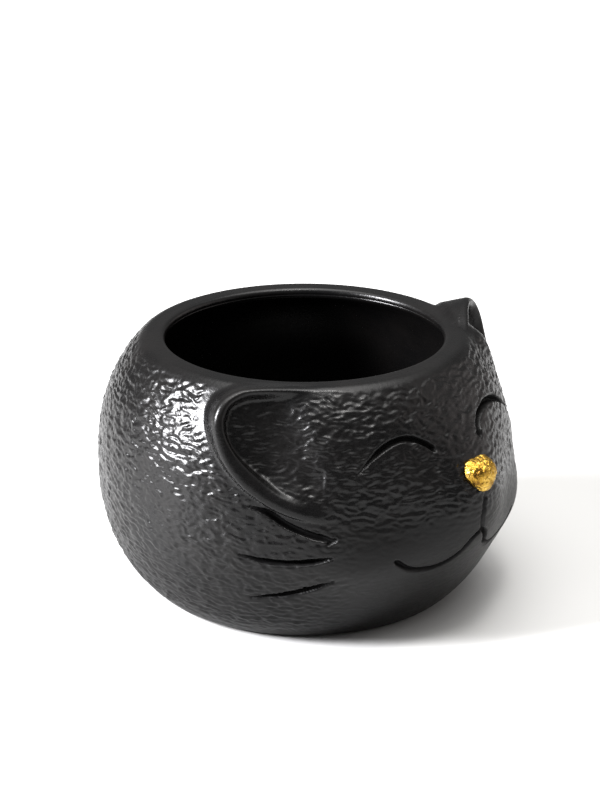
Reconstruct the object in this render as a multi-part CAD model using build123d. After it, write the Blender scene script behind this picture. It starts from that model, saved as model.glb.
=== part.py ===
from build123d import *
import math
import os

# Ceramic bowl in the shape of a sleeping cat's head, for a small plant or a candle.
# Millimetres, +Z up. The face looks along -Y, so the cat's right side is at -X.
# The origin is on the bowl's axis, at the level of the flat base.
# Angles on the head are counted from the front, positive towards the cat's right.

# Driving dimensions of the head
HEAD_RADIUS = 58.2
HEAD_HEIGHT = 73.2
EQUATOR_Z = 38.0
SWELL_HALF_HEIGHT = 50.0
SWELL_POWER = 2.3
WALL = 5.2
FLOOR = 6.0
MOUTH_RADIUS = 38.7
RIM_ROUNDING = 2.0
LIP_ROUNDING = 1.2
BASE_ROUNDING = 2.0
FLOOR_ROUNDING = 5.0
PROFILE_STEPS = 10

# Muzzle across the front, and a round jowl at the cat's right
MUZZLE_CENTRE = (0.0, -40.4, 37.0)
MUZZLE_HALF_LENGTH = 26.0
MUZZLE_RADIUS = 24.2
JOWL_CENTRE = (-17.6, -29.4, 31.0)
JOWL_RADIUS = 26.0
JOWL_INNER_X = -2.0

# Right ear: three places that its front lies on, at the head's side, the rim and the tip
EAR_FOOT = Vector(-39.4, -42.3, 41.4)
EAR_ROOT = Vector(-27.0, -33.0, 73.2)
EAR_TIP = Vector(-55.1, -16.1, 71.8)
# Outline of its front, in that plane: X up along the root from its middle, Y out to the tip
EAR_LOW_END = (-18.5, -0.5)
EAR_BOW = (-14.0, 18.0)
EAR_UNDER_TIP = (-1.0, 29.4)
EAR_TIP_TOP = (6.6, 31.3)
EAR_OVER_TIP = (13.2, 28.2)
EAR_TOP_EDGE = (16.5, 15.5)
EAR_HIGH_END = (16.6, -0.5)
# The left ear is the mirrored right ear with its top edge this much higher
LEFT_EAR_LIFT = 2.0
EAR_BACKWARD = Vector(0.51, 0.82, -0.20)
EAR_LENGTH = 24.0
EAR_ROLL = 3.9
EAR_PROUD = 0.9
EAR_REACH = 9.0
EAR_SEAT = 3.6
EAR_CLEAR_OF_RIM = 44.5
DISH_TILT = 11.0
DISH_RISE = 1.8
DISH_FLARE = -25.0

# Nose button and the leaf of gold over it
NOSE_TOP_Z = 52.1
NOSE_BOTTOM_Z = 41.3
NOSE_HALF_WIDTH = 7.0
NOSE_FRONT_Y = -66.2
NOSE_BACK_Y = -60.0
NOSE_CORNER = 2.4
NOSE_EDGE = 1.6
LEAF = 0.3

# Engraved lines: width, and points as (angle, height); the left side mirrors the right
GROOVE_WIDTH = 1.3
EYE = [(10.8, 56.4), (14.0, 59.0), (19.0, 60.2), (26.0, 58.3), (34.6, 52.4)]
MOUTH = [(0.0, 32.0), (3.6, 27.4), (9.0, 23.8), (17.0, 23.8), (24.3, 28.0)]
WHISKERS = [
    [(58.6, 45.8), (49.0, 38.8), (40.3, 34.1)],
    [(65.6, 29.9), (53.5, 28.5), (41.5, 29.1)],
    [(63.4, 16.5), (51.8, 18.2), (40.4, 21.9)],
]
PHILTRUM = [(0.0, 43.0), (0.0, 37.5), (0.0, 32.0)]


def swell_radius(z, inset=0.0):
    """Radius of the barrel-shaped head at height z, shrunk inward by inset."""
    rise = abs(z - EQUATOR_Z) / (SWELL_HALF_HEIGHT - inset)
    return (HEAD_RADIUS - inset) * (1 - rise ** SWELL_POWER) ** (1 / SWELL_POWER)


def barrel(inset, low, high):
    """Solid of revolution with the head's swelling side, between two heights."""
    step = (high - low) / PROFILE_STEPS
    side_points = []
    for i in range(PROFILE_STEPS + 1):
        z = low + i * step
        side_points.append((swell_radius(z, inset), z))
    side = Spline(*side_points)
    closing = Polyline(side_points[-1], (0, high), (0, low), side_points[0])
    outline = make_face([side, closing])
    return revolve(Plane.XZ * outline, Axis.Z)


def muzzle_lobe():
    """Wide rounded muzzle: an ellipsoid whose long axis runs from cheek to cheek."""
    half = EllipticalCenterArc(
        (0, 0), MUZZLE_RADIUS, MUZZLE_HALF_LENGTH, start_angle=-90, arc_size=180
    )
    outline = make_face([half, Line(half @ 1, half @ 0)])
    lobe = revolve(Plane.XZ * outline, Axis.Z)
    return Pos(*MUZZLE_CENTRE) * Rot(0, 90, 0) * lobe


def jowl_lobe():
    """Part of a ball that swells the right jowl, kept on its own side of the face."""
    ball = Pos(*JOWL_CENTRE) * Sphere(JOWL_RADIUS)
    reach = 4 * JOWL_RADIUS
    side = Box(reach, reach, reach, align=(Align.MAX, Align.CENTER, Align.CENTER))
    return ball & Pos(JOWL_INNER_X, JOWL_CENTRE[1], JOWL_CENTRE[2]) * side


def mirrored(shape):
    """The same shape on the other side of the face."""
    return mirror(shape, about=Plane.YZ)


def lobe_reach(angle, z, centre, radii):
    """Distance from the bowl's axis to the far side of a muzzle lobe, or 0 where it is missed."""
    ray = (-math.sin(math.radians(angle)), -math.cos(math.radians(angle)), 0)
    start = (-centre[0], -centre[1], z - centre[2])
    a = sum((d / r) ** 2 for d, r in zip(ray, radii))
    b = sum(2 * d * s / r ** 2 for d, s, r in zip(ray, start, radii))
    c = sum((s / r) ** 2 for s, r in zip(start, radii)) - 1
    inside = b * b - 4 * a * c
    if inside < 0:
        return 0.0
    return (-b + math.sqrt(inside)) / (2 * a)


def skin_point(angle, z):
    """Point on the outside of the head, at an angle from the front and a height."""
    muzzle = (MUZZLE_HALF_LENGTH, MUZZLE_RADIUS, MUZZLE_RADIUS)
    jowl = (JOWL_RADIUS, JOWL_RADIUS, JOWL_RADIUS)
    reach = max(
        swell_radius(z),
        lobe_reach(angle, z, MUZZLE_CENTRE, muzzle),
        lobe_reach(angle, z, JOWL_CENTRE, jowl),
    )
    turn = math.radians(angle)
    return Vector(-reach * math.sin(turn), -reach * math.cos(turn), z)


def groove(line):
    """Round-bottomed cutter along a line on the skin, closed by a ball at each end."""
    points = [skin_point(angle, z) for angle, z in line]
    path = Spline(*points)
    start = Plane(origin=path @ 0, z_dir=path % 0)
    cutter = sweep(start * Circle(GROOVE_WIDTH / 2), path=path)
    for end in (points[0], points[-1]):
        cutter += Pos(end.X, end.Y, end.Z) * Sphere(GROOVE_WIDTH / 2)
    return cutter


def ear_plane():
    """Plane of the right ear's front: X along its root, Y towards its tip, Z forward."""
    root = (EAR_ROOT - EAR_FOOT).normalized()
    forward = root.cross(EAR_TIP - EAR_FOOT).normalized()
    return Plane(origin=(EAR_FOOT + EAR_ROOT) * 0.5, x_dir=root, z_dir=forward)


def ear_outline(inner, lift):
    """Outline of the ear's front in its own plane, or of the hollow inside its rolled edge."""
    over_tip = (EAR_OVER_TIP[0] + lift, EAR_OVER_TIP[1])
    top_edge = (EAR_TOP_EDGE[0] + lift, EAR_TOP_EDGE[1])
    edges = [
        ThreePointArc(EAR_LOW_END, EAR_BOW, EAR_UNDER_TIP),
        ThreePointArc(EAR_UNDER_TIP, EAR_TIP_TOP, over_tip),
        ThreePointArc(over_tip, top_edge, EAR_HIGH_END),
        Line(EAR_HIGH_END, EAR_LOW_END),
    ]
    outline = make_face(edges)
    if not inner:
        return outline
    hollow = offset(outline, amount=-EAR_ROLL)
    return hollow + Pos(0, -EAR_ROLL) * hollow


def ear_blank(head, lift):
    """An ear before hollowing: a prism running back into the head, and the skin it carries."""
    plane = ear_plane()
    face = plane * ear_outline(False, lift)
    forward = plane.z_dir
    front = Pos(*(forward * EAR_PROUD)) * face
    back = extrude(front, amount=EAR_LENGTH, dir=EAR_BACKWARD)
    ahead = extrude(front, amount=EAR_REACH, dir=forward)
    return back + (ahead & head)


def ear_dish(lift):
    """Cutter for the hollow of an ear, flaring forward, its floor tilted to the head."""
    plane = ear_plane()
    floor = plane * Pos(0, 0, DISH_RISE) * Rot(-DISH_TILT, 0, 0)
    return extrude(floor * ear_outline(True, lift), amount=EAR_REACH, taper=DISH_FLARE)


def nose_button(grow):
    """Rounded triangular button, point down, grown outward by grow."""
    half = NOSE_HALF_WIDTH + grow
    top = NOSE_TOP_Z + grow
    bottom = NOSE_BOTTOM_Z - grow
    triangle = make_face(Polyline((-half, top), (half, top), (0, bottom), close=True))
    rounded = fillet(triangle.vertices(), NOSE_CORNER)
    depth = NOSE_BACK_Y - NOSE_FRONT_Y + grow
    facing = Plane(origin=(0, NOSE_BACK_Y, 0), x_dir=(1, 0, 0), z_dir=(0, -1, 0))
    button = extrude(facing * rounded, amount=depth)
    front_edges = button.faces().sort_by(Axis.Y)[0].edges()
    return fillet(front_edges, NOSE_EDGE)


def head_blank():
    """Solid head with its muzzle, before it is hollowed or engraved."""
    head = barrel(0.0, 0.0, HEAD_HEIGHT)
    rim = head.edges().filter_by(GeomType.CIRCLE).sort_by(Axis.Z)[-1]
    head = fillet(rim, RIM_ROUNDING)
    base = head.edges().filter_by(GeomType.CIRCLE).sort_by(Axis.Z)[0]
    head = fillet(base, BASE_ROUNDING)
    jowl = jowl_lobe()
    return head + muzzle_lobe() + jowl + mirrored(jowl)


def cavity():
    """Space inside the bowl: the head's own swelling, a flat floor and a round mouth."""
    neck_z = HEAD_HEIGHT - 1.7
    inside = barrel(WALL, FLOOR, neck_z)
    floor_edge = inside.edges().filter_by(GeomType.CIRCLE).sort_by(Axis.Z)[0]
    inside = fillet(floor_edge, FLOOR_ROUNDING)
    mouth = Pos(0, 0, neck_z - 4) * Cylinder(
        MOUTH_RADIUS, 20, align=(Align.CENTER, Align.CENTER, Align.MIN)
    )
    return inside + mouth


def engraving():
    """All engraved lines of the face, as separate cutters."""
    lines = [EYE, MOUTH] + WHISKERS
    cutters = [groove(line) for line in lines]
    cutters += [mirrored(cutter) for cutter in cutters]
    cutters.append(groove(PHILTRUM))
    return cutters


def build():
    """Every sub-part as a solid, by node name."""
    nose = nose_button(0.0)
    leaf = nose_button(LEAF) - nose - head_blank()
    body = head_blank() - cavity()
    cutters = engraving()
    for cutter in cutters:
        body = body - cutter
    body = body - nose

    core = barrel(EAR_SEAT, 0.0, HEAD_HEIGHT)
    core += Cylinder(EAR_CLEAR_OF_RIM, 4 * HEAD_HEIGHT)
    whisker = groove(WHISKERS[0])
    right_seat = ear_blank(head_blank(), 0.0) - core
    left_seat = ear_blank(head_blank(), LEFT_EAR_LIFT) - core
    right_dish = ear_dish(0.0)
    left_dish = ear_dish(LEFT_EAR_LIFT)
    body = body - right_seat - mirrored(left_seat)
    body = body - right_dish - mirrored(left_dish)

    return {
        "bowl_body": body,
        "right_ear": right_seat - right_dish - whisker,
        "left_ear": mirrored(left_seat - left_dish - whisker),
        "nose_button": nose,
        "gold_leaf": leaf,
    }


os.makedirs("parts", exist_ok=True)
for node, shape in build().items():
    export_step(shape, f"parts/{node}.step")
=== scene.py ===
import math

import bmesh
import bpy
import numpy as np
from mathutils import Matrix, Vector


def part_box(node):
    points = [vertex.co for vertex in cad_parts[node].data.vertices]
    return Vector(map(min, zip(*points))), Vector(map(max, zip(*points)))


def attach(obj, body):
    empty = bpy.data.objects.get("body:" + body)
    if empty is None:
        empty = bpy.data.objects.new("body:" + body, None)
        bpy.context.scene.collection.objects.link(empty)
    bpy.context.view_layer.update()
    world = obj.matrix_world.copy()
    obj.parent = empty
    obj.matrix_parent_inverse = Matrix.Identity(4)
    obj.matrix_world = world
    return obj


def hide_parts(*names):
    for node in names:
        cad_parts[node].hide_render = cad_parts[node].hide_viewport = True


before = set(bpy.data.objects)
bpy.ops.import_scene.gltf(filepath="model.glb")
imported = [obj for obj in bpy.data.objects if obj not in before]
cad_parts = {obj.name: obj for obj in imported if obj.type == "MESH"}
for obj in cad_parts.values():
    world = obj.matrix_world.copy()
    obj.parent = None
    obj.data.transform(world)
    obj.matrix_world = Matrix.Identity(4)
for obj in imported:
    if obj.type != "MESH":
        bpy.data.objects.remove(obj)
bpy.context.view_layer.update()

# A black glazed bowl in the shape of a sleeping cat's head, with a gilded nose.
# Shapes are worked out in millimetres and turned to metres as each mesh is made.
# The face looks along -Y. Angles are counted from the front, positive to the cat's right (-X).
MM = 0.001

# ---------------------------------------------------------------- sizes, from the frame
bowl_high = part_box("bowl_body")[1]
leaf_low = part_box("gold_leaf")[0]
ear_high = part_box("left_ear")[1]

# Room left inside the frame's box for the relief
RELIEF_ROOM = 0.3
HEAD_RADIUS = bowl_high.x / MM - RELIEF_ROOM
HEAD_HEIGHT = bowl_high.z / MM
EAR_HEIGHT = ear_high.z / MM
LEAF_FRONT = -leaf_low.y / MM
EQUATOR_Z = 38.0
SWELL_HALF_HEIGHT = 50.0
SWELL_POWER = 2.3
MOUTH_RADIUS = 38.7
WALL = 5.0
FLOOR_Z = 6.0

# Soft swellings of the face: rise, angle, height, spread in degrees, height up and down
MUZZLE = dict(rise=6.7, angle=0.0, z=40.0, spread=15.0, up=17.0, down=16.0)
JOWL = dict(rise=2.6, angle=31.0, z=28.5, spread=22.0, up=11.0, down=8.5)
BROW_DIP = dict(rise=-0.5, angle=0.0, z=62.0, spread=14.0, up=5.0, down=7.0)

# Right ear: three places that its front lies on, and the way its back runs into the head
EAR_FOOT = np.array((-39.4, -42.3, 41.4))
EAR_ROOT = np.array((-27.0, -33.0, 73.2))
EAR_TIP = np.array((-55.1, -16.1, 71.8))
EAR_BACKWARD = np.array((0.51, 0.82, -0.20))
# Outline of the front as (up along the root, out to the tip), round its centre
EAR_CENTRE = (1.0, 12.0)
EAR_OUTLINE = [
    (16.6, 4.0), (16.4, 12.0), (16.0, 18.0), (15.0, 24.0), (12.4, 28.4), (9.0, 30.4), (5.4, 30.9),
    (1.6, 30.2), (-2.8, 28.3), (-7.0, 25.5), (-10.7, 21.9), (-13.5, 17.9), (-15.9, 13.6),
    (-17.7, 9.0), (-18.8, 4.0), (-19.0, -1.0), (-17.0, -7.0), (0.0, -12.0), (14.0, -8.0),
    (16.6, -2.0),
]
# Slope of the distance from that outline, and how fast it narrows behind the front
OUTLINE_SLANT = 0.93
BACK_TAPER = 0.06
# Rolled edge: width above and below the tip, height over the front, and how far it bends back
ROLL_ABOVE = 2.5
ROLL_BELOW = 5.0
ROLL_PROUD = 0.8
ROLL_FALL = 1.9
ROLL_BENDS_BACK = 1.6
# Hollow: height of its bottom over the front, its slope, and its depth in the head's surface
DISH_FLOOR = 1.4
DISH_SLOPE = 0.20
DISH_LOW_RISE = 1.0
DISH_SINK = 3.3
DISH_LOW_SINK = 0.55
DISH_FLARE = 0.35
# How widely the shapes round into each other where they meet
EAR_BLEND = 1.0
DISH_BLEND = 1.6
EDGE_BLEND = 1.1
# Share of the relief that an ear's hollow loses
DISH_SMOOTHNESS = 0.45
# The left ear stands higher, and its hollow is shallower and webbed to the head
LEFT_EAR_LIFT = 2.0
LEFT_DISH_FILL = 0.8
LEFT_WEB = 2.0

# Engraved lines as (angle, height). The mouth and whiskers are the right side's
EYE = [
    (10.9, 56.2), (13.0, 57.9), (16.5, 59.6), (20.5, 60.1), (25.2, 59.0), (29.3, 56.7),
    (34.8, 52.3),
]
FAR_EYE = [
    (-6.3, 55.5), (-7.9, 58.2), (-12.4, 60.3), (-18.3, 61.0), (-24.5, 60.0), (-30.0, 57.6),
    (-36.0, 53.8),
]
MOUTH = [
    (0.0, 32.3), (2.4, 30.1), (5.0, 26.1), (9.6, 23.6), (15.0, 23.4), (20.2, 24.8),
    (24.6, 28.2),
]
PHILTRUM = [(0.0, 43.0), (0.6, 39.0), (0.9, 36.0), (0.0, 32.1)]
WHISKERS = [
    [(62.7, 44.4), (58.0, 43.2), (52.9, 40.1), (48.0, 37.9), (43.5, 36.6), (40.3, 35.8)],
    [(65.6, 30.4), (59.3, 29.3), (52.9, 29.1), (46.7, 29.8), (41.3, 30.9)],
    [(63.4, 16.7), (56.6, 18.0), (51.2, 19.3), (46.7, 21.0), (40.6, 23.4)],
]
WHISKER_TICK = [(42.6, 34.8), (40.0, 36.2)]
# Their cuts as (width, depth, share of the length over which the start and the end narrow)
EYE_CUT = (1.35, 1.5, 0.03, 0.30)
FAR_EYE_CUT = (1.6, 1.9, 0.03, 0.30)
MOUTH_CUT = (1.4, 1.2, 0.02, 0.03)
PHILTRUM_CUT = (1.3, 0.6, 0.15, 0.01)
WHISKER_CUT = (1.5, 2.0, 0.30, 0.25)
TICK_CUT = (1.1, 0.8, 0.1, 0.1)

# ---------------------------------------------------------------- numbers that work on arrays


def smooth_step(low, high, x):
    """0 below low, 1 above high, and a smooth rise between."""
    t = np.clip((x - low) / (high - low), 0.0, 1.0)
    return t * t * (3 - 2 * t)


def soft_min(a, b, width):
    """The smaller of two distances, rounded over width where they meet."""
    h = np.clip(0.5 + 0.5 * (b - a) / width, 0.0, 1.0)
    return b * (1 - h) + a * h - width * h * (1 - h)


def soft_max(a, b, width):
    """The larger of two distances, rounded over width where they meet."""
    return -soft_min(-a, -b, width)


def gradient_table(seed):
    """Shuffled table and unit gradients for the lattice noise."""
    rng = np.random.RandomState(seed)
    order = np.concatenate([rng.permutation(256)] * 2)
    gradients = rng.normal(size=(256, 3))
    gradients /= np.linalg.norm(gradients, axis=1)[:, None]
    return order, gradients


def lattice_noise(points, seed):
    """Smooth gradient noise, about -1 to 1, at an array of points."""
    order, gradients = gradient_table(seed)
    cell = np.floor(points).astype(int)
    offset = points - cell
    fade = offset ** 3 * (offset * (offset * 6 - 15) + 10)
    total = np.zeros(len(points))
    for corner in np.ndindex(2, 2, 2):
        at = (cell + corner) & 255
        pick = order[order[order[at[:, 0]] + at[:, 1]] + at[:, 2]]
        dot = (gradients[pick] * (offset - corner)).sum(axis=1)
        weight = np.ones(len(points))
        for axis in range(3):
            weight = weight * (fade[:, axis] if corner[axis] else 1 - fade[:, axis])
        total += weight * dot
    return total * 1.6


def smooth_curve(points, count):
    """A Catmull-Rom curve through the points, as count evenly spaced samples."""
    p = np.array(points, float)
    ends = np.vstack([2 * p[0] - p[1], p, 2 * p[-1] - p[-2]])
    t = np.linspace(0, len(p) - 1, count)
    i = np.minimum(t.astype(int), len(p) - 2)
    f = (t - i)[:, None]
    a, b, c, d = ends[i], ends[i + 1], ends[i + 2], ends[i + 3]
    return b + 0.5 * f * (c - a + f * (2 * a - 5 * b + 4 * c - d + f * (3 * (b - c) + d - a)))


def closed_curve(points, count):
    """A smooth closed curve through the points, as count samples."""
    return smooth_curve(list(points) * 3, 3 * count)[count:2 * count]


def outline_table(outline, centre):
    """A closed outline as the directions of its points from its centre, and their distances."""
    away = closed_curve(outline, 400) - np.array(centre)
    direction = np.arctan2(away[:, 1], away[:, 0])
    order = np.argsort(direction)
    direction, radius = direction[order], np.hypot(*away.T)[order]
    full = 2 * math.pi
    direction = np.concatenate([direction - full, direction, direction + full])
    return direction, np.tile(radius, 3)


# ---------------------------------------------------------------- the plain head


def swell_radius(z, inset=0.0):
    """Radius of the barrel-shaped head at a height, shrunk inward by inset."""
    rise = np.abs(z - EQUATOR_Z) / (SWELL_HALF_HEIGHT - inset)
    return (HEAD_RADIUS - inset) * (1 - np.minimum(rise, 0.99) ** SWELL_POWER) ** (1 / SWELL_POWER)


def swelling(angle, z, centre, bump):
    """How far one soft bump stands out, centred on an angle."""
    across = (angle - centre) / bump["spread"]
    above = z - bump["z"]
    tall = np.where(above > 0, above / bump["up"], above / bump["down"])
    return bump["rise"] * np.exp(-across ** 2 - tall ** 2)


def face_rise(angle, z):
    """How far the muzzle, jowls and brow stand out of the barrel shape."""
    total = np.zeros_like(z)
    for bump in (MUZZLE, JOWL, BROW_DIP):
        for centre in {bump["angle"], -bump["angle"]}:
            total += swelling(angle, z, centre, bump)
    return total


def skin(angle, z):
    """Points on the plain head, at angles in degrees and heights."""
    reach = swell_radius(z) + face_rise(angle, z)
    turn = np.radians(angle)
    return np.stack([-reach * np.sin(turn), -reach * np.cos(turn), z], axis=-1)


def head_distance(points):
    """Roughly how far points are outside the plain head."""
    x, y, z = points.T
    angle = np.degrees(np.arctan2(-x, -y))
    side = np.hypot(x, y) - swell_radius(np.clip(z, 0, HEAD_HEIGHT)) - face_rise(angle, z)
    slope = np.clip(1 - np.abs(z - EQUATOR_Z) / 90, 0.6, 1)
    return soft_max(side * slope, z - HEAD_HEIGHT, 1.5)


# ---------------------------------------------------------------- the ear

# Directions up along the ear's root, out of its front, and out to its tip
EAR_U = (EAR_ROOT - EAR_FOOT) / np.linalg.norm(EAR_ROOT - EAR_FOOT)
EAR_N = np.cross(EAR_U, EAR_TIP - EAR_FOOT)
EAR_N /= np.linalg.norm(EAR_N)
EAR_V = np.cross(EAR_N, EAR_U)
EAR_MID = (EAR_FOOT + EAR_ROOT) / 2
# How far the outline moves along and out for each step that it is swept backward
EAR_SHEAR_U = EAR_BACKWARD @ EAR_U / (EAR_BACKWARD @ EAR_N)
EAR_SHEAR_V = EAR_BACKWARD @ EAR_V / (EAR_BACKWARD @ EAR_N)
EAR_TABLE = outline_table(EAR_OUTLINE, EAR_CENTRE)


def ear_inward(u, v):
    """How far a place on the ear's front is inside its outline."""
    away_u, away_v = u - EAR_CENTRE[0], v - EAR_CENTRE[1]
    radius = np.interp(np.arctan2(away_v, away_u), *EAR_TABLE)
    return (radius - np.hypot(away_u, away_v)) * OUTLINE_SLANT


def swept_inward(u, v, w):
    """How far a place is inside the outline, which runs backward behind the ear's front."""
    behind = np.minimum(w, 0)
    return ear_inward(u - EAR_SHEAR_U * behind, v - EAR_SHEAR_V * behind)


def ear_places(points):
    """Points of the right side as (u, v, w): along the ear's root, out to its tip, and forward."""
    away = points - EAR_MID
    return away @ EAR_U, away @ EAR_V, away @ EAR_N


def bend_back(u, v):
    """How far the ear's front lies behind its plane, towards the outer side of its foot."""
    return ROLL_BENDS_BACK * smooth_step(10, -4, u) * smooth_step(6, 17, v)


def roll_width(u, v):
    """Width of the ear's rolled edge: narrow along the top, wider under the ear."""
    direction = np.abs(np.degrees(np.arctan2(v - EAR_CENTRE[1], u - EAR_CENTRE[0])))
    return ROLL_ABOVE + (ROLL_BELOW - ROLL_ABOVE) * smooth_step(20, 145, direction)


def dish_floor(u, v):
    """Height of the bottom of the ear's hollow, over the plane of the ear's front."""
    return DISH_FLOOR - DISH_SLOPE * v + DISH_LOW_RISE * smooth_step(-6, -17, u)


def dish_sink(u, v):
    """How deep the hollow sinks under the head's own surface, from nothing at the face."""
    edge = 7.0 * smooth_step(-4, 14, u)
    sink = DISH_SINK * smooth_step(edge - 3.0, edge + 13.0, v)
    return sink + DISH_LOW_SINK * smooth_step(0.6, 1.5, v) * smooth_step(-3, -8, u)


def shaped_distance(points):
    """How far points of the right side are outside the head with its hollowed ear."""
    u, v, w = ear_places(points)
    w = w + bend_back(u, v)
    inward = swept_inward(u, v, w) + BACK_TAPER * np.minimum(w, 0)
    width = roll_width(u, v)
    across = inward / (width / 2) - 1
    bead = ROLL_PROUD - ROLL_FALL * (1 - np.sqrt(np.clip(1 - np.minimum(across, 0) ** 2, 0, 1)))
    ear = np.maximum(-inward, w - bead)
    head = head_distance(points)
    whole = soft_min(head, ear, EAR_BLEND)
    flare = DISH_FLARE * np.maximum(w + 1.0, 0)
    inside = ear_inward(u, v) - width + flare
    hollow = soft_max(-inside, dish_floor(u, v) - w, DISH_BLEND)
    hollow = soft_max(hollow, -(head + dish_sink(u, v)), DISH_BLEND)
    return soft_max(whole, -hollow, EDGE_BLEND)


def roll_share(points):
    """How far the relief gives way: fully on an ear's edge and back, partly in its hollow."""
    x, y, z = points.T
    u, v, w = ear_places(np.stack([-np.abs(x), y, z], axis=1))
    inward = swept_inward(u, v, w)
    width = roll_width(u, v)
    on_roll = smooth_step(-2.2, -0.4, inward) * (1 - smooth_step(0.0, 1.2, inward - width))
    in_dish = DISH_SMOOTHNESS * smooth_step(0.0, 1.5, inward - width) * smooth_step(4.0, 11.0, v)
    on_roll *= smooth_step(-1.0, 2.0, v) * smooth_step(-34.0, -27.0, w)
    return np.maximum(on_roll, in_dish * (w > -8))


# ---------------------------------------------------------------- the head as rings of points

COLUMNS = 1040
FACE_HALF_ANGLE = 100.0
BACK_THINNING = 0.68
SIDE_STEP = 0.35
INSIDE_STEP = 1.5
COARSE = 4


def column_angles():
    """Angles of the columns, closer together round the face than at the back."""
    angle = np.linspace(-180, 180, 3601)
    back = smooth_step(FACE_HALF_ANGLE, FACE_HALF_ANGLE + 25, np.abs(angle))
    density = 1 - (1 - BACK_THINNING) * back
    share = np.concatenate([[0], np.cumsum((density[1:] + density[:-1]) / 2)])
    share /= share[-1]
    return np.interp(np.arange(COLUMNS) / COLUMNS, share, angle)


def rounded_corner(before, corner, after, count=14):
    """Curve that leaves one straight at before and joins the next at after."""
    t = np.linspace(0, 1, count)[:, None]
    a, b, c = np.array(before), np.array(corner), np.array(after)
    return (1 - t) ** 2 * a + 2 * t * (1 - t) * b + t * t * c


def resampled(line, step):
    """Evenly spaced points along a line, about a step apart."""
    piece = np.linalg.norm(np.diff(line, axis=0), axis=1)
    along = np.concatenate([[0], np.cumsum(piece)])
    at = np.linspace(0, along[-1], int(round(along[-1] / step)) + 1)
    return np.stack([np.interp(at, along, line[:, i]) for i in (0, 1)], axis=1)


def outer_profile():
    """Outside of the bowl from the flat base to just inside the lip, as (radius, height)."""
    foot, rim, lip = 1.8, 2.4, 1.5
    heights = np.linspace(foot, HEAD_HEIGHT - rim, 200)
    side = np.stack([swell_radius(heights), heights], axis=1)
    base_edge = (float(swell_radius(0.0)), 0.0)
    rim_edge = (float(swell_radius(HEAD_HEIGHT)) + 0.4, HEAD_HEIGHT)
    flat_end = (MOUTH_RADIUS + lip, HEAD_HEIGHT)
    line = np.vstack([
        [(base_edge[0] - foot - 3.0, 0.0)],
        rounded_corner((base_edge[0] - foot, 0.0), base_edge, side[0]),
        side[1:-1],
        rounded_corner(side[-1], rim_edge, (rim_edge[0] - 2.0, HEAD_HEIGHT)),
        rounded_corner(flat_end, (MOUTH_RADIUS, HEAD_HEIGHT), (MOUTH_RADIUS, HEAD_HEIGHT - lip)),
        [(MOUTH_RADIUS + 0.05, HEAD_HEIGHT - lip - 0.3)],
    ])
    return resampled(line, SIDE_STEP)


def inner_profile():
    """Inside of the bowl from under the lip down the wall to the flat floor."""
    wall_top = HEAD_HEIGHT - 5.5
    heights = np.linspace(wall_top, 13.0, 60)
    wall = np.stack([swell_radius(heights, WALL), heights], axis=1)
    corner = (float(swell_radius(FLOOR_Z + 2, WALL)) - 1.0, FLOOR_Z)
    neck = (MOUTH_RADIUS + 0.05, HEAD_HEIGHT - 1.8)
    line = np.vstack([
        rounded_corner(neck, (MOUTH_RADIUS + 0.3, HEAD_HEIGHT - 3.0), wall[0]),
        wall[1:-1],
        rounded_corner(wall[-1], corner, (corner[0] - 6.5, FLOOR_Z)),
        [(8.0, FLOOR_Z)],
    ])
    return resampled(line, INSIDE_STEP)


def profile_normals(profile):
    """Outward unit normals along a profile that runs from the base up the outside."""
    run = np.gradient(profile, axis=0)
    run /= np.linalg.norm(run, axis=1)[:, None]
    return np.stack([run[:, 1], -run[:, 0]], axis=1)


def head_rays(angles, profile):
    """Starts and directions for finding the outside: grids of points and unit vectors."""
    turn = np.radians(angles)
    normal = profile_normals(profile)
    radius, height = profile.T
    outer = smooth_step(0.0, 4.0, height) * smooth_step(MOUTH_RADIUS + 1, MOUTH_RADIUS + 6, radius)
    column, row = np.meshgrid(angles, height, indexing="ij")
    reach = radius + outer * face_rise(column, row)
    start = np.stack([
        -np.sin(turn)[:, None] * reach,
        -np.cos(turn)[:, None] * reach,
        np.broadcast_to(height, reach.shape),
    ], axis=-1)
    direction = np.stack([
        -np.sin(turn)[:, None] * normal[None, :, 0],
        -np.cos(turn)[:, None] * normal[None, :, 0],
        np.broadcast_to(normal[:, 1], reach.shape),
    ], axis=-1)
    return start, direction


def reach_along(start, direction, distance, outermost):
    """How far along each ray from the plain head's outside a shape's outside is."""
    step, innermost = 0.5, -6.0
    reach = np.full(len(start), innermost)
    found = np.zeros(len(start), bool)
    for far in np.arange(outermost, innermost, -step):
        left = ~found
        inside = distance(start[left] + far * direction[left]) < 0
        hit = np.flatnonzero(left)[inside]
        reach[hit] = far
        found[hit] = True
    low, high = reach.copy(), reach + step
    for _ in range(12):
        middle = (low + high) / 2
        inside = distance(start + middle[:, None] * direction) < 0
        low = np.where(inside, middle, low)
        high = np.where(inside, high, middle)
    return (low + high) / 2


def grid_normals(grid):
    """Unit normals of a grid of points whose first index runs round the bowl."""
    around = np.roll(grid, -1, axis=0) - np.roll(grid, 1, axis=0)
    along = np.gradient(grid, axis=1)
    normal = np.cross(along, around)
    normal /= np.maximum(np.linalg.norm(normal, axis=-1), 1e-9)[..., None]
    return normal


# ---------------------------------------------------------------- relief and engraving

# Height of the relief, sizes of its ridges, knots and sway, and how far the sway goes
RELIEF = 0.38
RIDGE_CELL = np.array((3.0, 3.0, 1.0))
KNOT_CELL = np.array((1.5, 1.5, 1.0))
SWAY_CELL = 5.0
SWAY = np.array((0.9, 0.9, 0.7))
# Share of the relief that the chin and the ears' edges lose, and that the base keeps
CHIN_LOSS = 0.90
ROLL_LOSS = 0.93
BASE_KEEPS = 0.25


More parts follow.
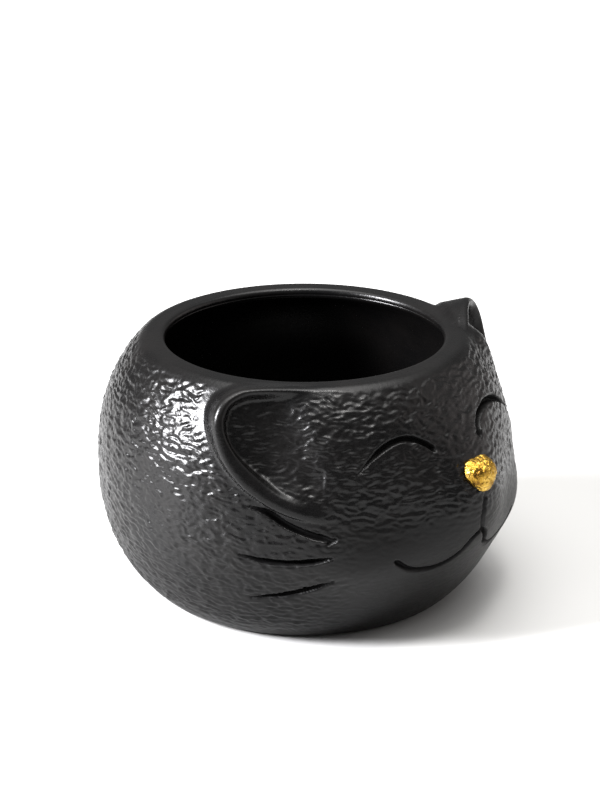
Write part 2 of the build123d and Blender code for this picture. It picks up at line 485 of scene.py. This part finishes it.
def wrinkles(points):
    """Height of the leathery relief: wavy ridges that run level, with pits between them."""
    sway = [lattice_noise(points / SWAY_CELL + 7.3 * i, 11 + i) for i in range(3)]
    bent = points + SWAY * np.stack(sway, axis=1)
    p = bent / RIDGE_CELL
    level = lattice_noise(p, 3)
    knots = lattice_noise(bent / KNOT_CELL + 3.1, 4)
    ridge = 1 - 2.4 * np.abs(lattice_noise(p * 0.8 + 9.7, 5))
    return 0.55 * level + 0.35 * knots + 0.40 * ridge - 0.15


def relief_amount(angle, z, roll):
    """How strong the relief is: fading at the rim, the base, the lower face and the ears' edges."""
    rim = 1 - smooth_step(HEAD_HEIGHT - 2.6, HEAD_HEIGHT - 0.6, z)
    base = smooth_step(0.5, 9.0, z)
    across = (np.abs(angle) - 17) / 26
    tall = (z - 20.0) / 19
    chin = np.exp(-np.maximum(across, 0) ** 4 - np.maximum(tall, 0) ** 6)
    base = BASE_KEEPS + (1 - BASE_KEEPS) * base
    return RELIEF * rim * base * (1 - CHIN_LOSS * chin) * (1 - ROLL_LOSS * roll)


def line_depth(points, line, cut):
    """Depth of one engraved line at points near it, narrowing to its ends."""
    width, depth, start_taper, end_taper = cut
    angle, z = smooth_curve(line, 90).T
    curve = skin(angle, z)
    low, high = curve.min(axis=0) - 3, curve.max(axis=0) + 3
    near = np.flatnonzero(((points > low) & (points < high)).all(axis=1))
    result = np.zeros(len(points))
    best = np.full(len(near), 1e9)
    place = np.zeros(len(near))
    for i in range(len(curve) - 1):
        run = curve[i + 1] - curve[i]
        t = np.clip((points[near] - curve[i]) @ run / (run @ run), 0, 1)
        gap = np.linalg.norm(points[near] - curve[i] - t[:, None] * run, axis=1)
        closer = gap < best
        best[closer] = gap[closer]
        place[closer] = (i + t[closer]) / (len(curve) - 1)
    taper = smooth_step(-0.02, start_taper, place) * smooth_step(-0.02, end_taper, 1 - place)
    half = width / 2 * (0.4 + 0.6 * taper)
    result[near] = depth * (0.25 + 0.75 * taper) * np.exp(-(best / half) ** 4)
    return result


def mirrored_line(line):
    """The same line on the other side of the face."""
    return [(-angle, z) for angle, z in line]


def engraving(points):
    """Depth of every engraved line of the face at points on the skin."""
    cuts = [(PHILTRUM, PHILTRUM_CUT), (EYE, EYE_CUT), (FAR_EYE, FAR_EYE_CUT)]
    for side in (list, mirrored_line):
        cuts += [(side(MOUTH), MOUTH_CUT), (side(WHISKER_TICK), TICK_CUT)]
        cuts += [(side(whisker), WHISKER_CUT) for whisker in WHISKERS]
    return np.max([line_depth(points, line, cut) for line, cut in cuts], axis=0)


# ---------------------------------------------------------------- meshes


def new_mesh_object(name, points, faces, material):
    """Mesh object from millimetre points and faces, smooth shaded."""
    mesh = bpy.data.meshes.new(name)
    mesh.vertices.add(len(points))
    mesh.vertices.foreach_set("co", (np.asarray(points) * MM).astype(np.float32).ravel())
    sizes = np.array([len(face) for face in faces])
    mesh.loops.add(int(sizes.sum()))
    mesh.loops.foreach_set("vertex_index", np.concatenate([np.asarray(f) for f in faces]))
    mesh.polygons.add(len(faces))
    mesh.polygons.foreach_set("loop_start", np.concatenate([[0], np.cumsum(sizes)[:-1]]))
    mesh.polygons.foreach_set("use_smooth", np.ones(len(faces), bool))
    mesh.update(calc_edges=True)
    mesh.validate()
    mesh.materials.append(material)
    piece = bpy.data.objects.new(name, mesh)
    bpy.context.scene.collection.objects.link(piece)
    return piece


def stand_for(piece, node):
    """Parents a finished piece to the root body and hides the CAD node that it replaces."""
    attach(piece, "root")
    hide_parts(node)


def ring_faces(counts, closed_start, closed_end):
    """Faces between rings of points, each a whole multiple of its neighbour's count.

    A closed end has one more point, its middle, joined to the end ring by triangles.
    """
    first = np.concatenate([[0], np.cumsum(counts)])
    faces = []
    for ring in range(len(counts) - 1):
        low, high = counts[ring], counts[ring + 1]
        a, b = first[ring], first[ring + 1]
        if low == high:
            i = np.arange(low)
            j = (i + 1) % low
            faces.extend(np.stack([a + i, b + i, b + j, a + j], axis=1).tolist())
        elif low > high:
            step = low // high
            for i in range(high):
                fine = [a + (i * step + k) % low for k in range(step, -1, -1)]
                faces.append([b + i, b + (i + 1) % high] + fine)
        else:
            step = high // low
            for i in range(low):
                fine = [b + (i * step + k) % high for k in range(step + 1)]
                faces.append([a + i] + fine + [a + (i + 1) % low])
    if closed_start:
        middle, n = first[-1], counts[0]
        faces += [[middle, i, (i + 1) % n] for i in range(n)]
    if closed_end:
        middle, n, a = first[-1] + int(closed_start), counts[-1], first[-2]
        faces += [[middle, a + (i + 1) % n, a + i] for i in range(n)]
    return faces


def plain_ring(angles, radius, height):
    """One level ring of points."""
    turn = np.radians(angles)
    level = np.full(len(turn), height)
    return np.stack([-radius * np.sin(turn), -radius * np.cos(turn), level], axis=1)


# ---------------------------------------------------------------- the outside, with its ears

# Angles and height from which the right ear can stand out of the head
EAR_ANGLES = (26.0, 112.0)
EAR_LOWEST = 33.0
# How far the rays that meet the ear lean toward its front, and the longest of them
EAR_TURN = 0.55
EAR_REACH = 17.0
# Rise over the plain head from which a point belongs to an ear
EAR_STARTS = 0.12
# Seat that an ear leaves in the bowl: its usual and lowest level, and how soon it gets there
SEAT_DEPTH = 1.6
SEAT_DEEPEST = -4.3
SEAT_MARGIN = 14
# Dullness and painted shade of the smooth parts low on the bowl, where 1 is the bottom of a cut:
# they get rougher and their reflections are dimmed
LOW_DULL_AND_SHADE = 0.42
# Largest step of a point while the grid is evened out
RELAX_STEP = 0.4


def mirror_columns(grid):
    """The grid's columns in mirrored order, so that the left side can copy the right."""
    return np.roll(grid[::-1], 1, axis=0)


def relaxed(points, fixed, rounds=16):
    """Evens out a grid's spacing while keeping its points on the eared head's surface."""
    for _ in range(rounds):
        middle = (np.roll(points, 1, 0) + np.roll(points, -1, 0)) / 4
        middle += (np.roll(points, 1, 1) + np.roll(points, -1, 1)) / 4
        moved = points + 0.5 * (middle - points)
        flat = moved.reshape(-1, 3)
        for _ in range(2):
            here = shaped_distance(flat)
            beside = [shaped_distance(flat + 0.02 * np.eye(3)[i]) - here for i in range(3)]
            slope = np.stack(beside, axis=1) / 0.02
            flat = flat - (here / np.maximum((slope ** 2).sum(axis=1), 0.25))[:, None] * slope
        moved = np.clip(flat.reshape(points.shape) - points, -RELAX_STEP, RELAX_STEP)
        points = points + (1 - fixed)[..., None] * moved
    return points


def vary_left_ear(point, raised, direction, left):
    """Makes the left ear's hollow shallower, webs it to the head and lifts its top."""
    u, v, w = ear_places(point * (-1, 1, 1))
    web = LEFT_WEB * np.exp(-((u - 10) / 8) ** 2 - ((v - 8) / 5) ** 2)
    from_axis = np.hypot(point[..., 0], point[..., 1])
    web *= smooth_step(MOUTH_RADIUS + 4, MOUTH_RADIUS + 10, from_axis)
    front = smooth_step(-2.5, -1.0, w - dish_floor(u, v)) * left[:, None]
    fill = (LEFT_DISH_FILL * np.maximum(-raised, 0) + web) * front
    point += fill[..., None] * direction
    raised += fill
    u, v, w = ear_places(point * (-1, 1, 1))
    lift = LEFT_EAR_LIFT * smooth_step(1, 15, u) * smooth_step(3, 20, v)
    share = blurred(grown(np.abs(raised) > 0.3, 3).astype(float), 8)
    point[left, :, 2] += (lift * share)[left]


def outside_surface(angles, profile):
    """Grid of the outside with its ears, how far each point is raised, and the ray directions."""
    start, direction = head_rays(angles, profile)
    u, v, _ = ear_places(start)
    rise = 1 - smooth_step(57, 67, start[..., 2])
    turn = EAR_TURN * rise * smooth_step(-9, 4, ear_inward(u, v))
    direction = direction + turn[..., None] * (EAR_N - direction)
    direction /= np.linalg.norm(direction, axis=-1)[..., None]
    columns = np.flatnonzero((angles > EAR_ANGLES[0]) & (angles < EAR_ANGLES[1]))
    rows = np.flatnonzero((profile[:, 1] > EAR_LOWEST) & (profile[:, 0] > MOUTH_RADIUS + 2.0))
    patch = np.ix_(columns, rows)
    near, way = start[patch].reshape(-1, 3), direction[patch].reshape(-1, 3)
    reach = reach_along(near, way, shaped_distance, EAR_REACH)
    reach -= reach_along(near, way, head_distance, 1.0)
    reach = np.where(np.abs(reach) < 0.02, 0.0, reach)
    raised = np.zeros(start.shape[:2])
    raised[patch] = reach.reshape(len(columns), len(rows))
    point = start + raised[..., None] * direction
    loose = blurred(grown(np.abs(raised) > EAR_STARTS, 3).astype(float), 6)
    loose *= 1 - smooth_step(69.3, 71.3, start[..., 2])
    loose[:, rows[0]:rows[0] + 3] = 0
    point[patch] = relaxed(point[patch], 1 - loose[patch])
    left = ~(angles > 0)
    for array in (point, direction):
        array[left] = (mirror_columns(array) * (-1, 1, 1))[left]
    raised[left] = mirror_columns(raised)[left]
    vary_left_ear(point, raised, direction, left)
    return point, raised, direction


def grown(mask, steps):
    """The mask made larger by a number of grid steps."""
    for _ in range(steps):
        wider = mask | np.roll(mask, 1, 0) | np.roll(mask, -1, 0)
        wider[:, 1:] |= mask[:, :-1]
        wider[:, :-1] |= mask[:, 1:]
        mask = wider
    return mask


def blurred(values, rounds):
    """Grid values averaged with their neighbours a few times."""
    for _ in range(rounds):
        values = (values + np.roll(values, 1, 0) + np.roll(values, -1, 0)) / 3
        padded = np.pad(values, ((0, 0), (1, 1)), mode="edge")
        values = (padded[:, :-2] + padded[:, 1:-1] + padded[:, 2:]) / 3
    return values


def build_head():
    """Makes the bowl and both ears as one surface cut along the ears' edges."""
    angles = column_angles()
    profile = outer_profile()
    point, raised, direction = outside_surface(angles, profile)
    normal = grid_normals(point)
    flat = point.reshape(-1, 3)
    angle = np.degrees(np.arctan2(-flat[:, 0], -flat[:, 1]))
    from_axis = np.hypot(flat[:, 0], flat[:, 1])
    amount = relief_amount(angle, flat[:, 2], roll_share(flat))
    amount *= smooth_step(MOUTH_RADIUS + 3, MOUTH_RADIUS + 6.5, from_axis)
    depth = engraving(flat)
    height = amount * wrinkles(flat) * (1 - smooth_step(0.1, 0.6, depth)) - depth
    shaped = point + height.reshape(raised.shape)[..., None] * normal
    shaped[..., 2] = np.clip(shaped[..., 2], 0.0, EAR_HEIGHT)
    normal = grid_normals(shaped)

    region = grown(np.abs(raised) > EAR_STARTS, 2)
    region = ~grown(~region, 1)
    inner = ~grown(~region, 1)
    edge_fade = smooth_step(0.0, 1.0, depth_inside(region, SEAT_MARGIN))
    level = np.maximum(np.minimum(raised, 0.4) - SEAT_DEPTH, SEAT_DEEPEST)
    drop = np.where(inner, edge_fade * np.maximum(raised - level, 0.8), 0.0)
    seat = shaped - drop[..., None] * direction
    # Painted shade: the cuts and the smooth parts low on the bowl get dimmed reflections, as well
    # as more roughness
    smooth_part = (1 - smooth_step(38, 48, flat[:, 2])) * (1 - amount / RELIEF)
    foot = 1 - smooth_step(8, 40, flat[:, 2])
    dull_and_shaded = np.maximum(np.clip(depth, 0, 1), LOW_DULL_AND_SHADE * np.maximum(smooth_part, foot))
    dull_and_shaded = dull_and_shaded.reshape(raised.shape)
    make_bowl(angles, np.where(inner[..., None], seat, shaped), normal, dull_and_shaded)
    for side, name in ((angles > 0, "right_ear"), (angles < 0, "left_ear")):
        make_ear(name, shaped, seat, normal, region & side[:, None], inner)


def depth_inside(mask, steps):
    """How deep each place is inside the mask, as a share of a number of grid steps."""
    depth = np.zeros(mask.shape)
    core = mask
    for _ in range(steps):
        depth += core / steps
        core = ~grown(~core, 1)
    return depth


def make_bowl(angles, outer, normal, dull_and_shaded):
    """The bowl: its outside, and coarser rings inside and under it."""
    inside = inner_profile()
    coarse = angles[::COARSE]
    sparse = coarse[::COARSE]
    base = float(np.hypot(*outer[0, 0, :2]))
    rings = [plain_ring(sparse, base * 0.3, 0.0), plain_ring(sparse, base * 0.65, 0.0)]
    rings += [plain_ring(coarse, base - 2.0, 0.0)]
    rings += [outer[:, row] for row in range(outer.shape[1])]
    rings += [plain_ring(coarse, radius, height) for radius, height in inside]
    rings += [plain_ring(sparse, inside[-1, 0] * 0.6, FLOOR_Z)]
    counts = [len(ring) for ring in rings]
    points = np.vstack(rings + [[(0, 0, 0)], [(0, 0, FLOOR_Z)]])
    faces = ring_faces(counts, True, True)
    piece = new_mesh_object("glazed_bowl", points, faces, GLAZE)
    start = sum(counts[:3])
    keep_normals(piece, start, np.swapaxes(normal, 0, 1).reshape(-1, 3))
    # Dullness and painted shade at each vertex of the outside, for the glaze
    shade = np.zeros(len(points), np.float32)
    shade[start:start + dull_and_shaded.size] = dull_and_shaded.T.ravel()
    piece.data.attributes.new("dull_and_shaded", "FLOAT", "POINT").data.foreach_set("value", shade)
    stand_for(piece, "bowl_body")


def keep_normals(piece, start, values):
    """Sets the normals of a run of vertices and leaves the rest as they are."""
    mesh = piece.data
    normals = np.zeros(len(mesh.vertices) * 3, np.float32)
    mesh.vertex_normals.foreach_get("vector", normals)
    normals = normals.reshape(-1, 3)
    normals[start:start + len(values)] = values
    mesh.normals_split_custom_set_from_vertices(normals.tolist())


def make_ear(name, top, seat, normal, region, inner):
    """An ear as a closed piece: its visible surface, and the seat that lies in the bowl."""
    columns, rows = region.shape
    number = np.full(region.shape, -1)
    number[region] = np.arange(region.sum())
    below = np.full(region.shape, -1)
    buried = region & inner
    below[buried] = region.sum() + np.arange(buried.sum())
    below[region & ~inner] = number[region & ~inner]
    i, j = np.meshgrid(np.arange(columns), np.arange(rows - 1), indexing="ij")
    i, j = i.ravel(), j.ravel()
    k = (i + 1) % columns
    corners = [(i, j), (i, j + 1), (k, j + 1), (k, j)]
    whole = np.all([number[c] >= 0 for c in corners], axis=0)
    upper = np.stack([number[c][whole] for c in corners], axis=1)
    lower = np.stack([below[c][whole] for c in reversed(corners)], axis=1)
    lower = lower[(np.sort(lower, 1) != np.sort(upper[:, ::-1], 1)).any(axis=1)]
    same = {tuple(face) for face in np.sort(upper, 1).tolist()} & {
        tuple(face) for face in np.sort(lower, 1).tolist()
    }
    faces = [f for f in upper.tolist() if tuple(sorted(f)) not in same]
    faces += [f for f in lower.tolist() if tuple(sorted(f)) not in same]
    points = np.vstack([top[region], seat[buried]])
    used = np.zeros(len(points), bool)
    used[np.concatenate(faces)] = True
    renumber = np.cumsum(used) - 1
    faces = [[int(renumber[v]) for v in face] for face in faces]
    piece = new_mesh_object(name + "_glazed", points[used], faces, GLAZE)
    keep_normals(piece, 0, normal[region][used[:int(region.sum())]])
    stand_for(piece, name)


# ---------------------------------------------------------------- the gilded nose

NOSE_MIDDLE = (0.0, 48.0)
NOSE_OUTLINE = [
    (0.0, 51.9), (2.2, 52.0), (3.9, 51.3), (4.9, 49.6), (4.8, 47.9), (3.6, 46.1), (1.9, 44.2),
    (0.0, 43.5), (-1.9, 44.2), (-3.6, 46.1), (-4.8, 47.9), (-4.9, 49.6), (-3.9, 51.3),
    (-2.2, 52.0),
]
# Front and back of the button, how far its edge is sunk in the muzzle, and its squareness
NOSE_FRONT = LEAF_FRONT - 0.5
NOSE_BACK = -60.3
NOSE_SUNK = 0.5
NOSE_SQUARENESS = 3.2
MUZZLE_RADIUS = 62.0
# Points round and rings from the middle out, and share of the outline, of button and foil
BUTTON_GRID = (120, 26, 0.985)
FOIL_GRID = (200, 46, 0.99)
LEAF_THICK = 0.2
CREASE_DEPTH = 0.30
CREASE_CELL = 1.3


def nose_outline(count):
    """Even directions round the nose's middle, and the outline's radius along each."""
    way = np.linspace(-math.pi, math.pi, count, endpoint=False)
    return way, np.interp(way, *outline_table(NOSE_OUTLINE, NOSE_MIDDLE))


def nose_surface(count, rings, scale):
    """Rings of points over the nose, from the middle out to where it meets the muzzle."""
    way, radius = nose_outline(count)
    share = np.sin(np.linspace(0.03, 1, rings) * math.pi / 2)
    x = NOSE_MIDDLE[0] + share[:, None] * radius * np.cos(way) * scale
    z = NOSE_MIDDLE[1] + share[:, None] * radius * np.sin(way) * scale
    muzzle = swell_radius(z) + face_rise(np.degrees(x / MUZZLE_RADIUS), z)
    muzzle = np.sqrt(np.maximum(muzzle ** 2 - x ** 2, 1.0))
    front = NOSE_FRONT - 0.030 * x ** 2 - 0.020 * (z - NOSE_MIDDLE[1]) ** 2
    cap = np.sqrt(np.clip(1 - share ** NOSE_SQUARENESS, 0, 1))[:, None]
    y = -(muzzle - NOSE_SUNK + (front - muzzle + NOSE_SUNK) * cap)
    return np.stack([x, y, z], axis=-1)


def sheet_normals(grid):
    """Unit normals of rings of points that run round the nose, pointing to the front."""
    around = np.roll(grid, -1, axis=1) - np.roll(grid, 1, axis=1)
    normal = np.cross(around, np.gradient(grid, axis=0))
    normal /= np.maximum(np.linalg.norm(normal, axis=-1), 1e-9)[..., None]
    toward_front = np.where(normal[0, :, 1].mean() < 0, 1.0, -1.0)
    return normal * toward_front


def crinkles(points):
    """Height of the foil's creases: sharp ridges between flatter faces."""
    p = points / CREASE_CELL
    p = p + 0.5 * np.stack([lattice_noise(p * 0.8 + 5.1 * i, 21 + i) for i in range(3)], axis=1)
    fold = 1 - np.abs(lattice_noise(p, 31)) * 2.4
    small = 1 - np.abs(lattice_noise(p * 2.3 + 1.7, 32)) * 2.4
    return np.clip(0.62 * fold + 0.28 * small, -1.0, 1.0)


def make_nose():
    """The glazed button under the foil, and the crinkled foil itself as a thin closed shell."""
    button = nose_surface(*BUTTON_GRID)
    rings = list(button) + [button[-1] * (1, 0, 1) + (0, NOSE_BACK, 0)]
    tip = button[0].mean(axis=0)
    back = rings[-1].mean(axis=0)
    points = np.vstack(rings + [[tip], [back]])
    faces = ring_faces([BUTTON_GRID[0]] * len(rings), True, True)
    nose = new_mesh_object("nose_glazed", points, faces, GLAZE)
    outward_faces(nose)
    stand_for(nose, "nose_button")

    under = nose_surface(*FOIL_GRID)
    normal = sheet_normals(under)
    height = LEAF_THICK + CREASE_DEPTH * crinkles(under.reshape(-1, 3)).reshape(under.shape[:2])
    edge = smooth_step(0.0, 0.10, np.linspace(1, 0, len(under)))[:, None]
    over = under + normal * (0.06 + height * edge)[..., None]
    inner = under + normal * 0.02
    rings = list(over) + list(inner[::-1])
    points = np.vstack(rings + [[over[0].mean(axis=0)], [inner[0].mean(axis=0)]])
    faces = ring_faces([FOIL_GRID[0]] * len(rings), True, True)
    foil = new_mesh_object("nose_foil", points, faces, FOIL)
    outward_faces(foil)
    stand_for(foil, "gold_leaf")


def outward_faces(piece):
    """Turns a closed piece's faces outward."""
    shape = bmesh.new()
    shape.from_mesh(piece.data)
    bmesh.ops.recalc_face_normals(shape, faces=shape.faces)
    shape.to_mesh(piece.data)
    shape.free()


# ---------------------------------------------------------------- materials


def colour_ramp(tree, source, stops):
    """Colours or greys along a value: stops are (position, colour or grey)."""
    node = tree.nodes.new("ShaderNodeValToRGB")
    band = node.color_ramp
    while len(band.elements) < len(stops):
        band.elements.new(0.5)
    for element, (position, colour) in zip(band.elements, stops):
        element.position = position
        grey = isinstance(colour, float)
        element.color = (colour, colour, colour, 1) if grey else (*colour, 1)
    tree.links.new(source, node.inputs["Fac"])
    return node.outputs["Color"]


class Nodes:
    """Short calls for building a node material."""

    def __init__(self, name):
        self.material = bpy.data.materials.new(name)
        self.material.use_nodes = True
        self.tree = self.material.node_tree
        self.shader = next(n for n in self.tree.nodes if n.type == "BSDF_PRINCIPLED")
        place = self.tree.nodes.new("ShaderNodeTexCoord")
        self.place = place.outputs["Object"]

    def link(self, source, target):
        self.tree.links.new(source, target)

    def noise(self, scale, detail=3.0, roughness=0.55, distortion=0.0, stretch=(1, 1, 1)):
        """Noise of a given number of cells per millimetre, stretched along the axes."""
        spread = self.tree.nodes.new("ShaderNodeMapping")
        spread.inputs["Scale"].default_value = [scale / MM * s for s in stretch]
        self.link(self.place, spread.inputs["Vector"])
        node = self.tree.nodes.new("ShaderNodeTexNoise")
        node.inputs["Scale"].default_value = 1.0
        node.inputs["Detail"].default_value = detail
        node.inputs["Roughness"].default_value = roughness
        node.inputs["Distortion"].default_value = distortion
        self.link(spread.outputs["Vector"], node.inputs["Vector"])
        return node.outputs["Fac"]

    def attribute(self, name):
        """A number that the mesh holds at each vertex."""
        node = self.tree.nodes.new("ShaderNodeAttribute")
        node.attribute_name = name
        return node.outputs["Fac"]

    def cells(self, scale):
        """Distance to scattered points, with a given number of them per millimetre."""
        spread = self.tree.nodes.new("ShaderNodeMapping")
        spread.inputs["Scale"].default_value = [scale / MM] * 3
        self.link(self.place, spread.inputs["Vector"])
        node = self.tree.nodes.new("ShaderNodeTexVoronoi")
        node.inputs["Scale"].default_value = 1.0
        self.link(spread.outputs["Vector"], node.inputs["Vector"])
        return node.outputs["Distance"]

    def ramp(self, source, stops):
        """Colours or greys along a value."""
        return colour_ramp(self.tree, source, stops)

    def mix(self, share, first, second):
        """A blend of two colours, each given by a socket."""
        node = self.tree.nodes.new("ShaderNodeMix")
        node.data_type = "RGBA"
        if isinstance(share, float):
            node.inputs["Factor"].default_value = share
        else:
            self.link(share, node.inputs["Factor"])
        self.link(first, node.inputs[6])
        self.link(second, node.inputs[7])
        return node.outputs[2]

    def bump(self, height, distance, strength=1.0, after=None):
        """A bump from a height, its full depth given in millimetres."""
        node = self.tree.nodes.new("ShaderNodeBump")
        node.inputs["Strength"].default_value = strength
        node.inputs["Distance"].default_value = distance * MM
        self.link(height, node.inputs["Height"])
        if after is not None:
            self.link(after, node.inputs["Normal"])
        return node.outputs["Normal"]


def black_glaze():
    """Near-black satin glaze with fine pores, rougher in the cuts and low on the bowl, where
    painted shade also dims its reflections.
    """
    nodes = Nodes("black_glaze_satin")
    shader = nodes.shader
    broad = nodes.noise(0.06, 3.0)
    fine = nodes.noise(0.9, 4.0, 0.6, 0.3, (1, 1, 1.5))
    blacks = [(0.3, (0.0011, 0.0011, 0.0012)), (0.7, (0.0024, 0.0021, 0.0020))]
    nodes.link(nodes.ramp(broad, blacks), shader.inputs["Base Color"])
    gloss = nodes.ramp(nodes.mix(0.5, broad, fine), [(0.30, 0.21), (0.70, 0.36)])
    dull = nodes.ramp(fine, [(0.3, 0.60), (0.7, 0.75)])
    dull_and_shaded = nodes.attribute("dull_and_shaded")
    nodes.link(nodes.mix(dull_and_shaded, gloss, dull), shader.inputs["Roughness"])
    # Painted shade: the reflections are dimmed in the cuts and low on the bowl
    shaded_specular = nodes.ramp(dull_and_shaded, [(0.0, 0.5), (0.9, 0.12)])
    nodes.link(shaded_specular, shader.inputs["Specular IOR Level"])
    pores = nodes.ramp(nodes.cells(0.55), [(0.05, 0.0), (0.16, 1.0)])
    first = nodes.bump(fine, 0.10, 0.55)
    nodes.link(nodes.bump(pores, 0.03, 0.35, first), shader.inputs["Normal"])
    shader.inputs["IOR"].default_value = 1.29
    return nodes.material


def gold_foil():
    """Gold leaf: metal with fine creases and darker, rubbed patches."""
    nodes = Nodes("gold_leaf_foil")
    shader = nodes.shader
    patch = nodes.noise(0.35, 4.0, 0.6)
    fine = nodes.noise(2.2, 4.0, 0.65, 0.4)
    golds = [(0.35, (0.12, 0.06, 0.01)), (0.5, (0.36, 0.21, 0.03)), (0.7, (0.66, 0.45, 0.11))]
    nodes.link(nodes.ramp(patch, golds), shader.inputs["Base Color"])
    nodes.link(nodes.ramp(fine, [(0.3, 0.22), (0.7, 0.42)]), shader.inputs["Roughness"])
    nodes.link(nodes.bump(fine, 0.12, 0.6), shader.inputs["Normal"])
    shader.inputs["Metallic"].default_value = 1.0
    return nodes.material


def pale_floor():
    """Smooth white table top, faintly uneven."""
    nodes = Nodes("pale_floor")
    whites = [(0.3, (0.39, 0.39, 0.385)), (0.7, (0.42, 0.42, 0.415))]
    shade = nodes.ramp(nodes.noise(0.004, 3.0), whites)
    nodes.link(shade, nodes.shader.inputs["Base Color"])
    nodes.shader.inputs["Roughness"].default_value = 0.55
    return nodes.material


GLAZE = black_glaze()
FOIL = gold_foil()

build_head()
make_nose()

# ---------------------------------------------------------------- floor, light and camera

FLOOR_SPAN = 6.0
FLOOR_DROP = 0.2
# Each light: its direction from the bowl, distance, size, power and colour
WINDOW = ((-0.79, 0.48, 0.48), 1.1, (0.32, 0.36), 78, (0.97, 0.97, 1.0))
CEILING = ((-0.12, -0.26, 1.0), 1.2, (0.22, 0.22), 6, (1.0, 0.98, 0.96))
LIT_HEIGHT = 45
# Light from all round by the height it comes from, and from a pale wall by the angle to it
SKY = [(0.45, 0.11), (0.80, 0.38), (0.97, (3.7, 3.66, 3.62))]
PALE_WALL_SIDE = (0.75, -0.65, 0.06)
PALE_WALL = [(0.72, 0.0), (0.93, (0.52, 0.47, 0.46))]
SKY_STRENGTH = 2.05
# Camera's place and the place it looks at, and its focal length on a 36 mm sensor
CAMERA_PLACE = (-519.53, -463.01, 314.65)
CAMERA_AIM = (3.77, 5.03, 50.87)
CAMERA_LENS = 119.6


def make_floor():
    """A wide, flat, pale floor just under the bowl."""
    half = FLOOR_SPAN / 2
    mesh = bpy.data.meshes.new("floor")
    corners = [(-half, -half, 0), (half, -half, 0), (half, half, 0), (-half, half, 0)]
    mesh.from_pydata(corners, [], [(0, 1, 2, 3)])
    mesh.materials.append(pale_floor())
    floor = bpy.data.objects.new("floor", mesh)
    bpy.context.scene.collection.objects.link(floor)
    floor.location.z = -FLOOR_DROP * MM


def make_light(name, toward, away, size, power, colour):
    """A soft rectangular light in a direction from the bowl, aimed back at it."""
    lamp = bpy.data.lights.new(name, "AREA")
    lamp.shape = "RECTANGLE"
    lamp.size, lamp.size_y = size
    lamp.energy = power
    lamp.color = colour
    light = bpy.data.objects.new(name, lamp)
    bpy.context.scene.collection.objects.link(light)
    middle = Vector((0, 0, LIT_HEIGHT * MM))
    light.location = middle + Vector(toward).normalized() * away
    light.rotation_euler = (middle - light.location).to_track_quat("-Z", "Y").to_euler()


def make_world():
    """Soft light from all round: dim at eye level, brighter overhead and at a pale wall."""
    world = bpy.data.worlds.new("studio")
    world.use_nodes = True
    tree = world.node_tree
    place = tree.nodes.new("ShaderNodeTexCoord")
    split = tree.nodes.new("ShaderNodeSeparateXYZ")
    tree.links.new(place.outputs["Generated"], split.inputs[0])
    side = tree.nodes.new("ShaderNodeVectorMath")
    side.operation = "DOT_PRODUCT"
    side.inputs[1].default_value = PALE_WALL_SIDE
    tree.links.new(place.outputs["Generated"], side.inputs[0])
    both = tree.nodes.new("ShaderNodeMix")
    both.data_type, both.blend_type = "RGBA", "ADD"
    both.inputs["Factor"].default_value = 1.0
    tree.links.new(colour_ramp(tree, split.outputs["Z"], SKY), both.inputs[6])
    tree.links.new(colour_ramp(tree, side.outputs["Value"], PALE_WALL), both.inputs[7])
    tree.links.new(both.outputs[2], tree.nodes["Background"].inputs["Color"])
    tree.nodes["Background"].inputs["Strength"].default_value = SKY_STRENGTH
    bpy.context.scene.world = world


def make_camera():
    """Camera a little above the bowl, looking down at the cat's right cheek."""
    lens = bpy.data.cameras.new("camera")
    lens.lens = CAMERA_LENS
    lens.sensor_width = 36.0
    camera = bpy.data.objects.new("camera", lens)
    bpy.context.scene.collection.objects.link(camera)
    camera.location = Vector(CAMERA_PLACE) * MM
    aim = Vector(CAMERA_AIM) * MM
    camera.rotation_euler = (aim - camera.location).to_track_quat("-Z", "Y").to_euler()
    bpy.context.scene.camera = camera


make_floor()
make_world()
make_light("window", *WINDOW)
make_light("ceiling", *CEILING)
make_camera()
bpy.context.scene.view_settings.view_transform = "Standard"
